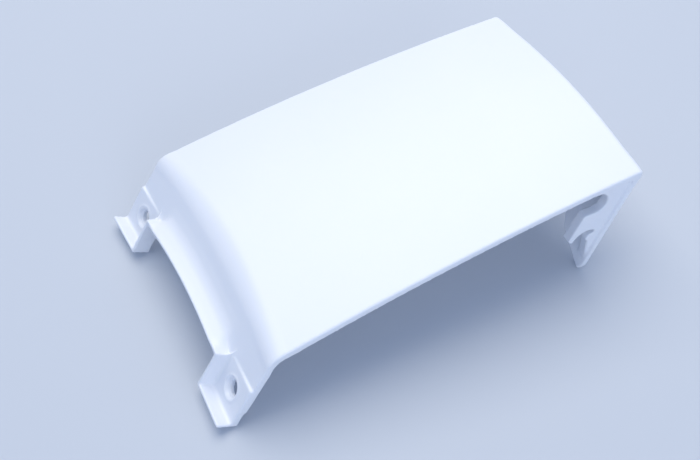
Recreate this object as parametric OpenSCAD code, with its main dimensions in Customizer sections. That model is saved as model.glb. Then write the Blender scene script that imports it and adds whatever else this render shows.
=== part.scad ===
// Rear seat cowl panel for a motorcycle: one injection moulded shell.
// X runs from the front ears to the rear flange, Y across, Z up, and the part rests on Z = 0.

/* [Shell] */
// Length from the front bend to the rear corner, along the middle
shell_len = 162; // [120:1:220]
// Height of the rear corner above the ground, in the middle
rear_h = 52.6; // [46:0.2:64]
// Height of the front bend corner above the ground, in the middle
front_h = 36.6; // [34:0.2:42]
// Rise of the lengthwise arch over its chord
arch_rise = 3.2; // [1:0.1:6]
// Width at the front bend
front_w = 118; // [105:1:140]
// Width at the rear edge
rear_w = 110; // [95:1:130]
// Radius of the crown across the panel, measured at the front bend
crown_r = 266; // [220:2:500]
// Wall thickness of the moulding
wall = 2.5; // [2:0.1:3.2]

/* [Front edge] */
// Angle of the front slope below the horizontal
slope_a = 56; // [52:1:60]
// Outer radius of the bend from the panel into the slope
bend_r = 13; // [8:0.5:18]
// Length of the front slope, corner to corner
slope_len = 16.6; // [15:0.1:19]
// Radius of the hollow between the slope and the lip
flare_r = 7; // [4:0.5:8]
// Angle of the front lip below the horizontal
lip_a = 7; // [2:1:12]
// Length of the front lip, corner to edge
lip_len = 8.8; // [7:0.1:11]

/* [Side rim] */
// Depth of the turned down side rim at the rear
rim_rear = 2.7; // [2.6:0.1:4]
// Depth of the side rim along the front slope and the ears
rim_front = 3.4; // [2.8:0.1:5.5]
// Thickness of the side rim
rim_t = 2.2; // [1.6:0.1:3]

/* [Ears] */
// Angle of the ear floor below the horizontal
ear_a = 58; // [54:1:62]
// Turn of each ear, so that its outer side stands further forward
ear_turn = 3; // [0:0.5:5]
// Distance from the middle to the ears
ear_in = 37.5; // [34:0.1:40]
// Step by which the middle of the ear floor stands in front of the slope
ledge = 0.65; // [0.6:0.05:1.6]
// Height of the ledge above the ground
ledge_h = 18.1; // [16:0.1:20]
// Height of the line where the floor meets the foot
foot_h = 2.85; // [2.5:0.05:4]
// Thickness of the ear floor
floor_t = 1.9; // [1.5:0.1:2.5]
// Height of the walls round the ear pocket, square to its floor
pocket_h = 6.2; // [5:0.1:7.5]
// Thickness of the pocket's foot and inner wall
pocket_t = 1.3; // [1.1:0.1:2]
// Draft of the pocket's inner wall, across the part
pocket_draft = 0.6; // [0.3:0.1:1.5]
// Radius of the hollow corners in the pocket
pocket_r = 1.2; // [0.6:0.1:2]

/* [Screw holes] */
// Bore for an M5 screw with its collar
hole_d = 6; // [5:0.1:6.6]
// Width of the dished seat round the bore
seat_d = 10.4; // [9:0.1:12]
// Depth of the dished seat
seat_depth = 1; // [0.6:0.1:1.6]
// Distance between the two holes
hole_span = 97.6; // [94:0.2:102]
// Distance from the foot up the ear floor to the hole
hole_up = 9; // [8:0.1:10.5]
// Width of the round boss behind each hole
boss_d = 13.6; // [13:0.1:15]
// Height of the boss behind the ear
boss_h = 1.6; // [0.8:0.1:2.5]

/* [Rear flange] */
// Lean of the flange from the vertical, forward at its foot
flange_a = 23.5; // [15:0.5:28]
// Outer radius of the corner between the panel and the flange
rear_r = 1.6; // [0.8:0.1:3]
// Distance from the side edge to the toe of each flange leg
toe_in = 18.5; // [15:0.5:24]
// Rise of the leg's lower edge, from its tip to the toe
toe_rise = 8; // [5:0.5:10]
// Distance from the side edge to the top of the opening between the legs
knee_in = 32; // [28:0.5:40]
// Depth of the flange between the legs, below the rear corner
mid_depth = 24; // [18:1:32]
// Distance from the rear corner down to the small bead under each bracket
bead_down = 47; // [45:0.5:49]
// Diameter of that bead
bead_d = 1.1; // [0.6:0.1:1.6]

/* [Side brackets] */
// Thickness of each bracket
bracket_t = 4.4; // [3:0.1:5]
// Distance from the side edge to the bracket's outer face
bracket_inset = 1; // [0.6:0.1:2]
// Height of the open slot
slot_h = 9.9; // [8:0.1:11]
// Distance from the rear corner to the closed end of the slot
slot_in = 14.6; // [13:0.1:16]
// Drop from the rear corner to the middle of the slot
slot_drop = 10.8; // [10:0.1:12]
// Distance from the rear corner to the tip of the upper arm
arm_reach = 24; // [22:0.5:27]
// Reach of the jaw under the slot
jaw_reach = 25; // [24:0.1:27]
// Height of the jaw
jaw_h = 14; // [12:0.5:15]
// Radius of the round notch under the jaw
notch_r = 6.9; // [6:0.1:7.5]
// Radius of the round nose inside the notch
nose_r = 3.15; // [2.5:0.05:3.6]
// Diameter of the relief hole in the rear upper corner
relief_d = 2.6; // [1.5:0.1:3]

/* [Hidden] */

// Steps on each rounded corner and along the arch
bend_steps = 10;
arch_steps = 20;
bore_fn = 64;
big = 400;
cut = 1;

// Points along the middle of the shell, as [x, z]
front_corner = [0, front_h];
rear_corner = [shell_len, rear_h];
chord = rear_corner - front_corner;
chord_len = norm(chord);
chord_a = atan2(chord[1], chord[0]);
arch_half = 2 * atan(2 * arch_rise / chord_len);
arch_r = chord_len / (2 * sin(arch_half));

// Headings of the path, from the flange's foot over the panel to the lip
flange_head = 90 - flange_a;
rear_head = 180 + chord_a - arch_half;
front_head = 180 + chord_a + arch_half;
slope_head = 180 + slope_a;
lip_head = 180 + lip_a;
flange_len = (rear_h + cut) / cos(flange_a);
arch_centre = (front_corner + rear_corner) / 2 - heading(90 + chord_a) * arch_r * cos(arch_half);
flange_foot = rear_corner - heading(flange_head) * flange_len;
valley = front_corner + heading(slope_head) * slope_len;
lip_edge = valley + heading(lip_head) * lip_len;

// The panel is the side profile turned about an axis square to the front slope,
// so the slope stays flat while the panel, the lip and the rear edge are crowned.
up_slope = heading(slope_a);
off_slope = heading(slope_a + 90);
axis_point = front_corner - up_slope * crown_r;
turn_half = asin((front_w / 2 + 12) / (crown_r - 60));

// Where the middle point p comes to at a distance y from the middle
function heading(a) = [cos(a), sin(a)];
function radius_at(p) = crown_r + (p - front_corner) * up_slope;
function side_point(p, y) = p - up_slope * (radius_at(p) - sqrt(radius_at(p) ^ 2 - y ^ 2));
function half_w(x) = (front_w + (rear_w - front_w) * x / shell_len) / 2;
rear_side = side_point(rear_corner, rear_w / 2);
lip_half_w = ear_in + pocket_t / 2;

// Ear floor, from the foot line up to the ledge
floor_up = heading(ear_a);
floor_out = heading(ear_a + 90);
ledge_point = [-(front_h - ledge_h) / tan(slope_a) - ledge / sin(slope_a), ledge_h];
floor_foot = ledge_point - floor_up * (ledge_h - foot_h) / sin(ear_a);
floor_len = (ledge_h - foot_h) / sin(ear_a);

// Places on the side brackets, from the rear corner: forward and down
slot_r = slot_h / 2;
slot_mid = [slot_in + slot_r, slot_drop];
jaw_top = slot_drop + slot_r;
jaw_lean = tan(flange_a);
notch_mid = [jaw_reach - 2.8, jaw_top + jaw_h + 2.8];
nose_mid = notch_mid - [notch_r - nose_r - 0.55, 1];
foot_reach = nose_mid[0] + 2.1;
foot_drop = 42.4;
bracket_root = 1.2;
relief_mid = [4.1, 3.7];

// Inner radius of the rear corner, and the chamfer on each leg's tip
inner_r = 0.5;
tip_in = 1.6;
tip_rise = 3;

// The part is shifted so that its origin is the middle of its outline on the ground
side_turn = (half_w(floor_foot[0]) - hole_span / 2) * tan(ear_turn);
front_end = floor_foot[0] + (floor_out * (pocket_h + side_turn))[0] - (floor_up * pocket_t)[0];
rear_turn = (rear_head - flange_head) / 2;
rear_end = rear_corner[0] + rear_r - rear_r * (heading(flange_head)[0] * tan(rear_turn) + sin(flange_head));
middle_x = (front_end + rear_end) / 2;

// A rounded corner: points with their headings, turning from heading h1 to h2 at point p
function corner(p, h1, h2, r, steps) =
    let (side = sign(h2 - h1))
    let (start = p - heading(h1) * r * tan(abs(h2 - h1) / 2))
    let (centre = start + heading(h1 + 90) * r * side)
    [for (k = [0:steps]) let (h = h1 + (h2 - h1) * k / steps)
        [centre - heading(h + 90) * r * side, h]];

// The lengthwise arch between the two corners, clear of their rounding
function arch_path() =
    let (skip_rear = (wall + inner_r) / arch_r * 90)
    let (skip_front = bend_r / arch_r * 45)
    let (h1 = rear_head + skip_rear)
    let (h2 = front_head - skip_front)
    [for (k = [0:arch_steps]) let (h = h1 + (h2 - h1) * k / arch_steps)
        [arch_centre + heading(h - 90) * arch_r, h]];

function flange_path(r) = concat(
    [[flange_foot, flange_head]],
    corner(rear_corner, flange_head, rear_head, r, bend_steps));

// The whole side profile, with its outer or its inner radius at the rear corner
function outer_path() = concat(flange_path(rear_r), arch_path(), slope_path());
function inner_path() = concat(flange_path(wall + inner_r), arch_path(), slope_path());

function slope_path() = concat(
    corner(front_corner, front_head, slope_head, bend_r, bend_steps));

function lip_path() = concat(
    corner(valley, slope_head, lip_head, flare_r, bend_steps),
    [[lip_edge, lip_head]]);

// A path set back from the outer face by a depth
function set_back(path, depth) = [for (s = path) s[0] - heading(s[1] - 90) * depth];

// Depth of the side rim, growing from the rear to the front slope
function rim_depth(p) = rim_rear + (rim_front - rim_rear) * (1 - max(0, min(1, p[0] / shell_len)));
function rim_back(path) = [for (s = path) s[0] - heading(s[1] - 90) * rim_depth(s[0])];

function points(path) = [for (s = path) s[0]];
function reversed(list) = [for (k = [len(list) - 1:-1:0]) list[k]];

// Side profile points turned into the crown's own frame
function crowned(list) = [for (p = list)
    [crown_r + (p - front_corner) * up_slope, (p - front_corner) * off_slope]];

// Turns a side profile about the crown axis
module crown_sweep(list) {
    translate([axis_point[0], 0, axis_point[1]])
        rotate([0, -slope_a, 0])
            rotate([0, 0, -turn_half])
                rotate_extrude(angle = 2 * turn_half, $fn = 720)
                    polygon(crowned(list));
}

// A wall of one thickness along a path
module crown_wall(path, depth) {
    crown_sweep(concat(points(path), reversed(set_back(path, depth))));
}

// Everything inside the tapered side edges, set in by a margin
module plan(margin) {
    x1 = -60;
    x2 = shell_len + 20;
    translate([0, 0, -20])
        linear_extrude(height = 120)
            polygon([
                [x1, -half_w(x1) + margin], [x2, -half_w(x2) + margin],
                [x2, half_w(x2) - margin], [x1, half_w(x1) - margin]]);
}

// Slab across the part between two distances from the middle, on both sides
module side_bands(y1, y2) {
    for (side = [-1, 1])
        translate([-60, side > 0 ? y1 : -y2, -20])
            cube([100, y2 - y1, 80]);
}

// Panel, front bend and slope, with the rear flange
module panel() {
    crown_sweep(concat(points(outer_path()), reversed(set_back(inner_path(), wall))));
}

// Rim turned down along both side edges
module side_rims() {
    path = concat(
        [corner(rear_corner, flange_head, rear_head, rear_r, bend_steps)[bend_steps]],
        arch_path(), slope_path(), [[ear_end(), slope_head]]);
    difference() {
        crown_sweep(concat(points(path), reversed(rim_back(path))));
        plan(rim_t);
    }
}

// Slope and flared lip in the middle, from the bend to the lip's edge
function front_path() = concat([[slope_path()[bend_steps][0], slope_head]], lip_path());

// A path down from the bend, begun one step up in the bend so that it overlaps the panel
function joined(path) = concat([slope_path()[bend_steps - 1]], path);

// Flared lip along the front edge, between the ears
module front_lip() {
    intersection() {
        crown_wall(joined(front_path()), wall);
        translate([-60, -lip_half_w, -20])
            cube([100, 2 * lip_half_w, 100]);
    }
}

// Everything under the outer face of the slope and the lip
module under_lip() {
    low = lip_edge - up_slope * 60;
    crown_sweep(concat(points(front_path()), [low, low + [60, 0]]));
}

// Lowest point of the slope behind the ears
function ear_end() = front_corner + heading(slope_head) * ((front_h - ledge_h + 4) / sin(slope_a));

// The slope carried on down behind each ear floor
module ear_roots() {
    path = [slope_path()[bend_steps], [ear_end(), slope_head]];
    intersection() {
        crown_wall(joined(path), wall);
        side_bands(ear_in + pocket_t / 4, front_w);
    }
}

// Moves to one ear: x into the part, z up the floor from the foot line, y = 0 at its hole.
// Each ear is turned a little about the line through its hole.
module on_ear(side) {
    translate([floor_foot[0], side * hole_span / 2, floor_foot[1]])
        rotate([0, 90 - ear_a, 0])
            rotate([0, 0, side * ear_turn])
                children();
}

// Distances across an ear, from its hole line: its inner face and well past its side
ear_y1 = ear_in - hole_span / 2;
ear_y2 = front_w / 2 + 8 - hole_span / 2;

// A profile seen from the side, extruded across an ear from y1 to y2
module across(side, y1, y2) {
    translate([0, side > 0 ? y2 : -y1, 0])
        rotate([90, 0, 0])
            linear_extrude(height = y2 - y1)
                children();
}

// How far down the ear's parts are drawn, to be cut off together at the foot's outer face
foot_over = pocket_t + 2;

// A quarter round of the pocket's hollow corner, about the point [-r, r]
function hollow() = [for (a = [-90:15:0]) [-pocket_r + pocket_r * cos(a), pocket_r + pocket_r * sin(a)]];

// Floor and foot of one ear, from inside its inner wall to the side
module ear_tray(side) {
    intersection() {
        on_ear(side)
            across(side, ear_y1 + pocket_t / 2, ear_y2)
                polygon(concat(
                    [[-pocket_h, -foot_over], [-pocket_h, 0]], hollow(),
                    [[0, floor_len], [floor_t, floor_len], [floor_t, -foot_over]]));
        plan(0);
    }
}

// Side rim of one ear, as deep as the slope's
module ear_rim(side) {
    difference() {
        intersection() {
            on_ear(side)
                across(side, 2, ear_y2)
                    translate([floor_t / 2, -foot_over])
                        square([rim_front - floor_t / 2, floor_len + foot_over]);
            plan(0);
        }
        plan(rim_t);
    }
}

// Inner wall of one ear pocket, leaning in with its draft and closed by the lip
module ear_wall(side) {
    y1 = ear_y1;
    y2 = y1 + pocket_t;
    profile = concat(
        [[floor_t, y1], [-pocket_h, y1], [-pocket_h, y2]],
        [for (p = hollow()) p + [0, y2 + pocket_draft]],
        [[floor_t, y2 + pocket_draft + pocket_r]]);
    intersection() {
        on_ear(side)
            translate([0, 0, -foot_over])
                linear_extrude(height = floor_len + foot_over + 12)
                    polygon([for (p = profile) [p[0], side * p[1]]]);
        under_lip();
    }
}

// Everything beyond the outer face of one ear's foot
module past_foot(side) {
    on_ear(side)
        translate([-50, -50, -pocket_t - 50])
            cube([100, 100, 50]);
}

// Floor, foot, rim and inner wall of one ear
module ear(side) {
    difference() {
        union() {
            ear_tray(side);
            ear_rim(side);
            ear_wall(side);
        }
        past_foot(side);
    }
}

// Round boss behind one screw hole
module hole_boss(side) {
    on_ear(side)
        translate([floor_t / 2, 0, hole_up])
            rotate([0, 90, 0])
                cylinder(d = boss_d, h = floor_t / 2 + boss_h, $fn = bore_fn);
}

// Screw hole with its dished seat, cut through the ear floor and its boss
module screw_hole(side) {
    on_ear(side)
        translate([0, 0, hole_up])
            rotate([0, 90, 0]) {
                translate([0, 0, -cut])
                    cylinder(d = hole_d, h = floor_t + boss_h + 2 * cut, $fn = bore_fn);
                translate([0, 0, -0.01])
                    cylinder(d1 = seat_d, d2 = hole_d + 1.4, h = seat_depth, $fn = bore_fn);
            }
}

// Moves to the rear corner's side: x out of the flange, z up along it
module flange_frame() {
    translate([rear_side[0], 0, rear_side[1]])
        rotate([0, flange_a, 0])
            children();
}

// Outline cut out of the flange between and under its two legs
module flange_opening() {
    low = rear_side[1] / cos(flange_a);
    end = flange_len + 4;
    tip = half_w(rear_side[0] - rear_h * tan(flange_a));
    reach = 12;
    outer = [[tip + 8, -end], [tip + 8, -low + 2 * tip_rise], [tip + tip_in, -low + 2 * tip_rise],
        [tip - tip_in, -low]];
    flange_frame()
        rotate([90, 0, 90])
            translate([0, 0, -reach])
                linear_extrude(height = 2 * reach)
                    polygon(concat(
                        [for (p = outer) [-p[0], p[1]]], leg_curve(-1, tip, low),
                        reversed(leg_curve(1, tip, low)), reversed(outer)));
}

// Lower and inner edge of one leg, from its tip to the middle of the opening
function leg_curve(side, half, low) =
    let (foot = [half - tip_in - 0.8, -low])
    let (toe = [half - toe_in, -low + toe_rise])
    let (knee = [half - knee_in, -mid_depth])
    let (rise_a = atan2(toe[1] - foot[1], foot[0] - toe[0]))
    let (inner_a = atan2(knee[1] - toe[1], toe[0] - knee[0]))
    [for (p = concat(
        [foot],
        points(corner(toe, 180 - rise_a, 180 - inner_a, 9, 6)),
        points(corner(knee, 180 - inner_a, 180, 7, 6))))
        [side * p[0], p[1]]];

// Small bead across the flange's inner face, under each bracket
module flange_beads() {
    flange_frame()
        for (side = [-1, 1])
            translate([-wall, side * (rear_w / 2 - 0.7), -bead_down])
                rotate([side * 90, 0, 0])
                    cylinder(d = bead_d, h = bracket_t, $fn = 24);
}

// Profile of a side bracket, drawn forward and down from the rear corner
module bracket_profile() {
    lean = jaw_lean;
    jaw_low = jaw_top + jaw_h;
    difference() {
        polygon([
            [0, 0], [arm_reach + 0.6, 0], [arm_reach, jaw_top - slot_h + 0.4],
            [arm_reach - 1, slot_drop], [jaw_reach - 0.6, jaw_top - 0.2], [jaw_reach + 0.3, jaw_top + 1],
            [jaw_reach + jaw_h * lean - 0.4, jaw_low - 1.4], [jaw_reach + jaw_h * lean - 1.6, jaw_low],
            [foot_reach, jaw_low + 2], [foot_reach, foot_drop],
            [foot_drop * lean + bracket_root, foot_drop]]);
        translate(slot_mid)
            circle(r = slot_r, $fn = bore_fn);
        translate([slot_mid[0], slot_drop - slot_r])
            square([20, slot_h]);
        difference() {
            intersection() {
                translate(notch_mid)
                    circle(r = notch_r, $fn = bore_fn);
                translate([nose_mid[0] - 0.8, jaw_low - 8])
                    square([20, 30]);
            }
            translate(nose_mid)
                circle(r = nose_r, $fn = bore_fn);
            translate([nose_mid[0] - 10, nose_mid[1] - nose_r])
                square([10, 40]);
            translate([nose_mid[0] - 10, nose_mid[1]])
                square([10 + foot_reach - nose_mid[0], 40]);
        }
        translate(relief_mid)
            circle(d = relief_d, $fn = bore_fn);
    }
}

// Both side brackets, kept inside the shell
module side_brackets() {
    intersection() {
        for (side = [-1, 1]) {
            outer = rear_w / 2 - bracket_inset;
            translate([rear_side[0], side > 0 ? outer : -outer + bracket_t, rear_side[1]])
                rotate([90, 0, 0])
                    linear_extrude(height = bracket_t)
                        rotate(180)
                            bracket_profile();
        }
        under_panel();
    }
}

// Everything under the panel and in front of the flange, to the middle of the wall
module under_panel() {
    crown_sweep(set_back(inner_path(), wall / 2));
}

// Everything above the ground
module above_ground() {
    translate([-60, -front_w, 0])
        cube([shell_len + 120, 2 * front_w, big]);
}

module tail_fairing() {
    color([0.93, 0.94, 0.97])
        translate([-middle_x, 0, 0])
            intersection() {
                difference() {
                    union() {
                        intersection() {
                            union() {
                                difference() {
                                    panel();
                                    flange_opening();
                                }
                                side_rims();
                                ear_roots();
                            }
                            plan(0);
                        }
                        front_lip();
                        for (side = [-1, 1]) {
                            ear(side);
                            hole_boss(side);
                        }
                        flange_beads();
                        side_brackets();
                    }
                    for (side = [-1, 1])
                        screw_hole(side);
                }
                above_ground();
            }
}

tail_fairing();
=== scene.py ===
"""Studio scene of a motorcycle tail fairing, in metres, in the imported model's own frame.

A skin with the soft edges of a moulding takes the place of the CAD solid and has its sizes;
the scene gives it its plastic, and sets the camera, the floor and the light.
"""

import math

import bpy
import numpy as np
from mathutils import Euler, Matrix, Vector


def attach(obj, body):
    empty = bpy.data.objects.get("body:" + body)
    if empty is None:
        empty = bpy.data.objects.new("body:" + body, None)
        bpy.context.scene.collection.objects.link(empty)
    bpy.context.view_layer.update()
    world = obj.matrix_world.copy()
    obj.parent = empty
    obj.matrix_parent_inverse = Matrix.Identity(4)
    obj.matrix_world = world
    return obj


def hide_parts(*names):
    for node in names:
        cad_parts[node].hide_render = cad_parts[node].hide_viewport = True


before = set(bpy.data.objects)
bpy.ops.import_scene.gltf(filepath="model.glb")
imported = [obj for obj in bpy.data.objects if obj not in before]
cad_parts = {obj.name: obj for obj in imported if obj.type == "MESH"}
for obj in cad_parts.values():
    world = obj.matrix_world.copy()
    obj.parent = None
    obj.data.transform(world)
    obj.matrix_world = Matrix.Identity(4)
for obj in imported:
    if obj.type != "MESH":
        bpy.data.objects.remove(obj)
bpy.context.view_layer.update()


# Camera
# A short portrait lens over the near front corner, as in the photo: 59 mm on a 36 mm sensor.
# Its place and turn were fitted to the outline of the part, so the values aren't round.
MM = 0.001
LENS_MM = 59.0
AZIMUTH = math.radians(-25.25)
ELEVATION = math.radians(48.82)
ROLL = math.radians(-1.68)
AIM = Vector((-4.87, 9.24, 0.6)) * MM
DISTANCE = 498.84 * MM

back = Vector((math.sin(AZIMUTH) * math.cos(ELEVATION),
               -math.cos(AZIMUTH) * math.cos(ELEVATION),
               math.sin(ELEVATION)))
level_right = Vector((math.cos(AZIMUTH), math.sin(AZIMUTH), 0.0))
level_up = back.cross(level_right)
right = level_right * math.cos(ROLL) + level_up * math.sin(ROLL)
up = level_up * math.cos(ROLL) - level_right * math.sin(ROLL)
place = AIM + back * DISTANCE

camera_data = bpy.data.cameras.new("camera")
camera_data.lens = LENS_MM
camera_data.sensor_width = 36.0
camera_data.clip_start = 0.01
camera = bpy.data.objects.new("camera", camera_data)
camera.matrix_world = Matrix((
    (right.x, up.x, back.x, place.x),
    (right.y, up.y, back.y, place.y),
    (right.z, up.z, back.z, place.z),
    (0.0, 0.0, 0.0, 1.0)))
bpy.context.scene.collection.objects.link(camera)
bpy.context.scene.camera = camera


# Shell
# The whole fairing: one white, slightly cool ABS moulding with a satin gloss, as it leaves the tool.
# Its skin is drawn over the CAD solid, which it replaces, and gives it the soft edges and
# corners of a moulding. It stays one piece, as the part is.
SHELL_WHITE = "#EEF0F6"
SHELL_SHADE = "#EAEDF3"
ABS_IOR = 1.54
VOXEL = 0.45 * MM
SKIN_TRIANGLES = 130000

# The shell's own sizes, repeated from the CAD source: the virtual corner of the front bend in the
# middle plane, its slope and crown, the bend's and the flare's radii, the slope's length, and the
# widths at the bend and at the rear
BEND_CORNER = Vector((-65.965, 0.0, 36.6)) * MM
SLOPE = math.radians(56.0)
CROWN = 266.0 * MM
BEND_RADIUS = 13.0 * MM
SLOPE_LENGTH = 16.6 * MM
FLARE_RADIUS = 7.0 * MM
FRONT_WIDTH = 118.0 * MM
REAR_WIDTH = 110.0 * MM
LENGTH = 162.0 * MM
UP_SLOPE = np.array([math.cos(SLOPE), 0.0, math.sin(SLOPE)])
OFF_SLOPE = np.array([-math.sin(SLOPE), 0.0, math.cos(SLOPE)])
ACROSS = np.array([0.0, 1.0, 0.0])
# The ears' floors: their slope and turn, and where the far screw's axis meets the floor, with its
# distance from the foot and the radius of the dished seat round it
EAR_SLOPE = math.radians(58.0)
EAR_TURN = math.radians(3.0)
UP_FLOOR = np.array([math.cos(EAR_SLOPE), 0.0, math.sin(EAR_SLOPE)])
HOLE = Vector((-83.99, 48.8, 10.48)) * MM
HOLE_UP = 9.0 * MM
SEAT_RADIUS = 5.2 * MM
# Middle of the far bracket's relief hole
RELIEF = Vector((89.64, 51.8, 45.49)) * MM


def linear(code):
    """An sRGB hex colour as linear red, green, blue and alpha."""
    parts = [int(code[k:k + 2], 16) / 255 for k in (1, 3, 5)]
    return [c / 12.92 if c <= 0.04045 else ((c + 0.055) / 1.055) ** 2.4 for c in parts] + [1.0]


def new_material(name):
    """An empty node material: the material, its node tree and its shader."""
    material = bpy.data.materials.new(name)
    material.use_nodes = True
    tree = material.node_tree
    tree.nodes.clear()
    output = tree.nodes.new("ShaderNodeOutputMaterial")
    shader = tree.nodes.new("ShaderNodeBsdfPrincipled")
    tree.links.new(shader.outputs[0], output.inputs["Surface"])
    return material, tree, shader


def add(tree, kind, settings=(), values=(), links=()):
    """Adds a node: settings are its properties, values its sockets' values, links its inputs."""
    node = tree.nodes.new(kind)
    for key, value in dict(settings).items():
        setattr(node, key, value)
    for key, value in dict(values).items():
        node.inputs[key].default_value = value
    for key, source in dict(links).items():
        tree.links.new(source, node.inputs[key])
    return node


def baked(obj, name):
    """A new mesh object of obj with its modifiers applied."""
    depsgraph = bpy.context.evaluated_depsgraph_get()
    depsgraph.update()
    mesh = bpy.data.meshes.new_from_object(obj.evaluated_get(depsgraph))
    mesh.name = name
    made = bpy.data.objects.new(name, mesh)
    bpy.context.scene.collection.objects.link(made)
    return made


def points_of(mesh):
    """The mesh's vertices as rows of x, y and z."""
    flat = np.empty(len(mesh.vertices) * 3)
    mesh.vertices.foreach_get("co", flat)
    return flat.reshape(-1, 3)


def rising(values, start, end):
    """0 below start and 1 above end, with a soft rise between; start may be the larger one."""
    t = np.clip((values - start) / (end - start), 0.0, 1.0)
    return t * t * (3.0 - 2.0 * t)


def on_slope(points):
    """Where each point lies on the slope.

    Its distance up the slope from the front bend's corner, its height off the slope, and the
    direction up the slope there, which fans out from the crown's axis.
    """
    step = points - np.array(BEND_CORNER)
    climb = step @ UP_SLOPE + CROWN
    y = points[:, 1]
    radius = np.hypot(climb, y)
    up_here = UP_SLOPE * (climb / radius)[:, None] + ACROSS * (y / radius)[:, None]
    return radius - CROWN, step @ OFF_SLOPE, up_here


def on_ears(points):
    """Where each point lies on the nearer ear.

    Its distance up the floor from the foot, its height off the floor, the step to it from the
    screw's axis, and the direction off the floor.
    """
    side = np.where(points[:, 1] > 0.0, 1.0, -1.0)
    off_floor = np.stack([np.full(len(side), -math.sin(EAR_SLOPE) * math.cos(EAR_TURN)),
                          -side * math.sin(EAR_TURN),
                          np.full(len(side), math.cos(EAR_SLOPE) * math.cos(EAR_TURN))], axis=1)
    step = points - np.stack([np.full(len(side), HOLE.x), side * HOLE.y,
                              np.full(len(side), HOLE.z)], axis=1)
    height = (step * off_floor).sum(axis=1)
    return step @ UP_FLOOR + HOLE_UP, height, step - off_floor * height[:, None], off_floor


def ring_seats(points):
    """Draws each screw's dished seat in to its bore, deepens it a little and rings its edge."""
    ring_height, ring_width, deeper, inwards = 0.3 * MM, 0.5 * MM, 0.3 * MM, 0.7 * MM
    _, height, from_axis, off_floor = on_ears(points)
    radius = np.linalg.norm(from_axis, axis=1)
    # The floor's outer face round the seat, and not its back
    outside = rising(height, -2.4 * MM, -1.4 * MM) * (height < 2.0 * MM) * (radius < 9.0 * MM)
    ring = ring_height * np.exp(-((radius - SEAT_RADIUS - ring_width) / ring_width) ** 2)
    dish = deeper * rising(radius, SEAT_RADIUS, 4.0 * MM)
    draw_in = inwards * rising(radius, 3.4 * MM, 4.8 * MM) * rising(radius, 8.5 * MM, 5.8 * MM)
    outwards = from_axis / np.maximum(radius, 0.1 * MM)[:, None]
    move = off_floor * (ring - dish)[:, None] - outwards * draw_in[:, None]
    return points + move * outside[:, None]


def swell_fold(points, below, tangent, turn, change):
    """Moves the skin outwards near a fold of the side profile, as a changed radius would.

    below is the fold's distance down the slope from the front bend, tangent and turn its mean
    and its own angle, and change how far its radius shrinks, or grows in a hollow, at each point.
    """
    reach, thickness = 6.5 * MM, 8.0 * MM
    above, lift, up_here = on_slope(points)
    above = above + below
    along = above * math.cos(SLOPE - tangent) - lift * math.sin(SLOPE - tangent)
    height = above * math.sin(SLOPE - tangent) + lift * math.cos(SLOPE - tangent)
    bump = np.clip(1.0 - (along / reach) ** 2, 0.0, 1.0) ** 2 * (np.abs(height) < thickness)
    rise = change * (1.0 / math.cos(turn / 2) - 1.0) * bump
    lean = tangent + math.radians(90.0) - SLOPE
    return points + (up_here * math.cos(lean) + OFF_SLOPE * math.sin(lean)) * rise[:, None]


def reshape_folds(points):
    """Gives the two folds their radii: the solid's are even, the moulding's front bend is wide in
    the middle and tight at both sides, and the hollow over its lip is wider up to the ears."""
    middle_radius, side_radius, hollow_radius = 15.0 * MM, 5.0 * MM, 11.5 * MM
    bend_tangent, bend_turn = math.radians(33.0), math.radians(46.0)
    hollow_tangent, hollow_turn = math.radians(31.5), math.radians(49.0)
    wanted = middle_radius + (side_radius - middle_radius) * (points[:, 1] / (FRONT_WIDTH / 2)) ** 2
    points = swell_fold(points, 0.0, bend_tangent, bend_turn, BEND_RADIUS - wanted)
    between_ears = rising(np.abs(points[:, 1]), 38 * MM, 31 * MM)
    return swell_fold(points, SLOPE_LENGTH, hollow_tangent, hollow_turn,
                      (hollow_radius - FLARE_RADIUS) * between_ears)


def close_flare(points):
    """Lays the end of the hollow over the lip back on the slope, so no step is left at the ears."""
    most = 1.2 * MM
    y = np.abs(points[:, 1])
    above, lift, _ = on_slope(points)
    beside_ears = rising(y, 33 * MM, 38.5 * MM) * (y < 42 * MM)
    share = beside_ears * rising(above + SLOPE_LENGTH, -1.5 * MM, 1.0 * MM)
    return points - OFF_SLOPE * (share * np.clip(lift, 0.0, most))[:, None]


def droop_lip(points):
    """Lets the lip's ends sink where they run into the ears' floors, and rise a little at the rim."""
    rim_height = 6.2 * MM
    climb, height, _, _ = on_ears(points)
    y = np.abs(points[:, 1])
    # Across, from the lip's middle part to the ear's wall; along, clear of the foot and the bend
    share = rising(y, 30 * MM, 37.5 * MM) * rising(y, 40.8 * MM, 38.5 * MM)
    share *= rising(climb, 2 * MM, 8 * MM) * rising(climb, 28 * MM, 22 * MM)
    # 4.2 mm down at the floor, and 0.8 mm up at the rim
    depth = (5.0 * np.clip(1.0 - height / rim_height, 0.0, 1.0) - 0.8) * MM
    # High up the points slide in the slope's plane, and lower down in the floor's
    blend = rising(climb, 16 * MM, 20 * MM)[:, None]
    return points - (UP_FLOOR * (1.0 - blend) + UP_SLOPE * blend) * (share * depth)[:, None]


def lower_relief(points):
    """Moves the relief hole's place in each bracket's upper corner out from behind the side rim.

    The hole itself is closed in the skin, which keeps only a shallow dent of it.
    """
    shift = np.array([-0.3, 0.0, -1.1]) * MM
    x, y, z = points[:, 0], np.abs(points[:, 1]), points[:, 2]
    # The hole's place and a little round it, on the bracket's plate only
    away = np.hypot(x - RELIEF.x, z - RELIEF.z)
    share = rising(away, 3.6 * MM, 1.8 * MM) * rising(y, 47 * MM, 49 * MM)
    return points + shift * share[:, None]


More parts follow.
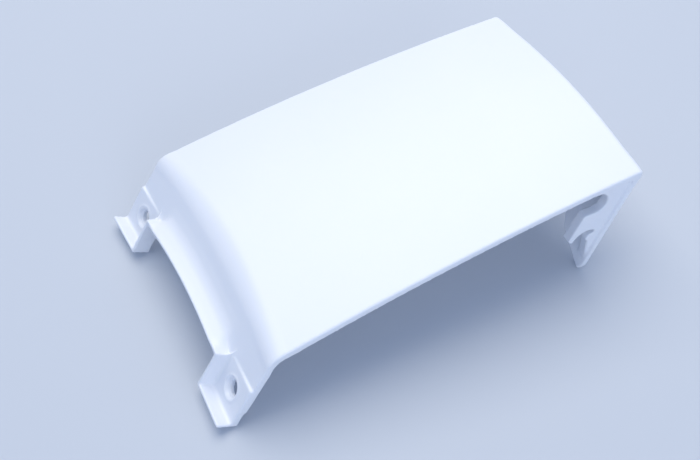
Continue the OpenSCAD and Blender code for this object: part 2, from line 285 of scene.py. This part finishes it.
def fill_corners(points):
    """Carries the two rear corners out by 0.8 mm, where the softening takes most away."""
    shift = np.array([0.8 * MM, 0.0, 0.0])
    x, y, z = points[:, 0], np.abs(points[:, 1]), points[:, 2]
    share = rising(x, 86 * MM, 94 * MM) * rising(y, 38 * MM, 54 * MM) * rising(z, 34 * MM, 48 * MM)
    return points + shift * share[:, None]


def seat_weights(points):
    """How much each point is kept from the softening: 0.75 round the screws' seats, else 0."""
    _, height, from_axis, _ = on_ears(points)
    radius = np.linalg.norm(from_axis, axis=1)
    return 0.75 * rising(radius, 8.0 * MM, 6.5 * MM) * (np.abs(height) < 3.0 * MM)


def side_edge_weights(points):
    """1 along the shell's outer side edges, fading to 0 over 2 mm, for a larger radius there."""
    half = (FRONT_WIDTH + (REAR_WIDTH - FRONT_WIDTH) * (points[:, 0] - BEND_CORNER.x) / LENGTH) / 2
    inset = half - np.abs(points[:, 1])
    return np.clip(1.0 - inset / (2.0 * MM), 0.0, 1.0)


def weigh(obj, name, weights):
    """Adds a vertex group of the points with a weight above 0.01."""
    group = obj.vertex_groups.new(name=name)
    for number in np.nonzero(weights > 0.01)[0]:
        group.add([int(number)], float(weights[number]), "REPLACE")
    return name


def smooth(obj, name, iterations, group, inverted=False):
    """Adds a half-strength smoothing of the points in a group, or of those outside it."""
    modifier = obj.modifiers.new(name, "SMOOTH")
    modifier.factor = 0.5
    modifier.iterations = iterations
    modifier.vertex_group = group
    modifier.invert_vertex_group = inverted


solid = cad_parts["tail_fairing"]
rough = bpy.data.objects.new("rough", solid.data.copy())
# The remesh's grid stands askew to every edge, so none of them comes out in long steps
askew = Euler((0.5, 0.6, 0.7)).to_matrix().to_4x4()
rough.data.transform(askew)
bpy.context.scene.collection.objects.link(rough)
remesh = rough.modifiers.new("remesh", "REMESH")
remesh.mode = "VOXEL"
remesh.voxel_size = VOXEL
fine = baked(rough, "fine")
bpy.data.objects.remove(rough)
fine.data.transform(askew.inverted())

places = points_of(fine.data)
for reshape in (ring_seats, reshape_folds, close_flare, droop_lip, lower_relief, fill_corners):
    places = reshape(places)
fine.data.vertices.foreach_set("co", places.ravel())
smooth(fine, "soften", 4, weigh(fine, "seats", seat_weights(places)), inverted=True)
smooth(fine, "round_edge", 12, weigh(fine, "side_edge", side_edge_weights(places)))
thin_out = fine.modifiers.new("thin_out", "DECIMATE")
thin_out.ratio = SKIN_TRIANGLES / (2.0 * len(fine.data.polygons))
skin = baked(fine, "tail_fairing_skin")
bpy.data.objects.remove(fine)
skin.data.materials.clear()
for face in skin.data.polygons:
    face.use_smooth = True
even = skin.modifiers.new("even", "WEIGHTED_NORMAL")
even.weight = 50

abs_white, tree, shader = new_material("abs_white")
place_of = add(tree, "ShaderNodeNewGeometry")
# Slow drift of tone where the melt cooled unevenly, tens of millimetres across; the mix node's
# inputs 6 and 7 are its two colours
drift = add(tree, "ShaderNodeTexNoise", values={"Scale": 22.0, "Detail": 2.0},
            links={"Vector": place_of.outputs["Position"]})
tone = add(tree, "ShaderNodeMix", {"data_type": "RGBA"},
           values={6: linear(SHELL_WHITE), 7: linear(SHELL_SHADE)},
           links={0: drift.outputs["Fac"]})
tree.links.new(tone.outputs[2], shader.inputs["Base Color"])
# Fine texture of the tool's surface, about half a millimetre across
grain = add(tree, "ShaderNodeTexNoise", values={"Scale": 1900.0, "Detail": 3.0},
            links={"Vector": place_of.outputs["Position"]})
gloss = add(tree, "ShaderNodeMapRange",
            values={"From Min": 0.3, "From Max": 0.7, "To Min": 0.34, "To Max": 0.42},
            links={"Value": grain.outputs["Fac"]})
tree.links.new(gloss.outputs[0], shader.inputs["Roughness"])
peel = add(tree, "ShaderNodeBump", values={"Strength": 0.12, "Distance": 0.02 * MM},
           links={"Height": grain.outputs["Fac"]})
tree.links.new(peel.outputs[0], shader.inputs["Normal"])
shader.inputs["IOR"].default_value = ABS_IOR
shader.inputs["Subsurface Weight"].default_value = 0.12
shader.inputs["Subsurface Radius"].default_value = (1.0, 0.9, 0.8)
shader.inputs["Subsurface Scale"].default_value = 1.2 * MM

skin.data.materials.append(abs_white)
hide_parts("tail_fairing")
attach(skin, "root")


# Floor
# A pale matt tabletop under the part and far past the picture's edges.
FLOOR_TONE = "#C9CED6"

floor_paint, tree, shader = new_material("floor_paint")
shader.inputs["Base Color"].default_value = linear(FLOOR_TONE)
shader.inputs["Roughness"].default_value = 0.75
bpy.ops.mesh.primitive_plane_add(size=8.0, location=(0.0, 0.0, 0.0))
floor = bpy.context.object
floor.name = "floor"
floor.data.materials.append(floor_paint)


# Light
# A wide soft box overhead, a little towards the far side, a low one that reaches under the near
# edge, and a cool sky all round, which is white where it is seen, mirrored or looked through to.
SKY_TONE = "#98AED2"
SKY_SEEN = "#FFFFFF"


def soft_box(name, spot, aim, size, power, colour):
    """A square area lamp at spot, facing aim."""
    lamp_data = bpy.data.lights.new(name, "AREA")
    lamp_data.shape = "SQUARE"
    lamp_data.size = size
    lamp_data.energy = power
    lamp_data.color = linear(colour)[:3]
    lamp = bpy.data.objects.new(name, lamp_data)
    lamp.location = spot
    lamp.rotation_euler = (Vector(aim) - Vector(spot)).to_track_quat("-Z", "Y").to_euler()
    bpy.context.scene.collection.objects.link(lamp)


soft_box("key", spot=(0.12, 0.35, 1.05), aim=(0.02, 0.0, 0.02), size=1.1, power=9.7,
         colour="#FFF9EC")
soft_box("near_fill", spot=(-0.15, -1.12, 0.42), aim=(0.0, 0.0, 0.02), size=0.7, power=3.2,
         colour="#F4F8FF")

world = bpy.data.worlds.new("world")
bpy.context.scene.world = world
world.use_nodes = True
tree = world.node_tree
tree.nodes.clear()
world_out = add(tree, "ShaderNodeOutputWorld")
seen = add(tree, "ShaderNodeLightPath")
seen_or_mirrored = add(tree, "ShaderNodeMath", {"operation": "MAXIMUM"},
                       links={0: seen.outputs["Is Camera Ray"], 1: seen.outputs["Is Glossy Ray"]})
shown = add(tree, "ShaderNodeMath", {"operation": "MAXIMUM"},
            links={0: seen_or_mirrored.outputs[0], 1: seen.outputs["Is Transmission Ray"]})
tint = add(tree, "ShaderNodeMix", {"data_type": "RGBA"},
           values={6: linear(SKY_TONE), 7: linear(SKY_SEEN)}, links={0: shown.outputs[0]})
sky = add(tree, "ShaderNodeBackground", links={"Color": tint.outputs[2]})
tree.links.new(sky.outputs[0], world_out.inputs["Surface"])

bpy.context.scene.view_settings.view_transform = "Standard"
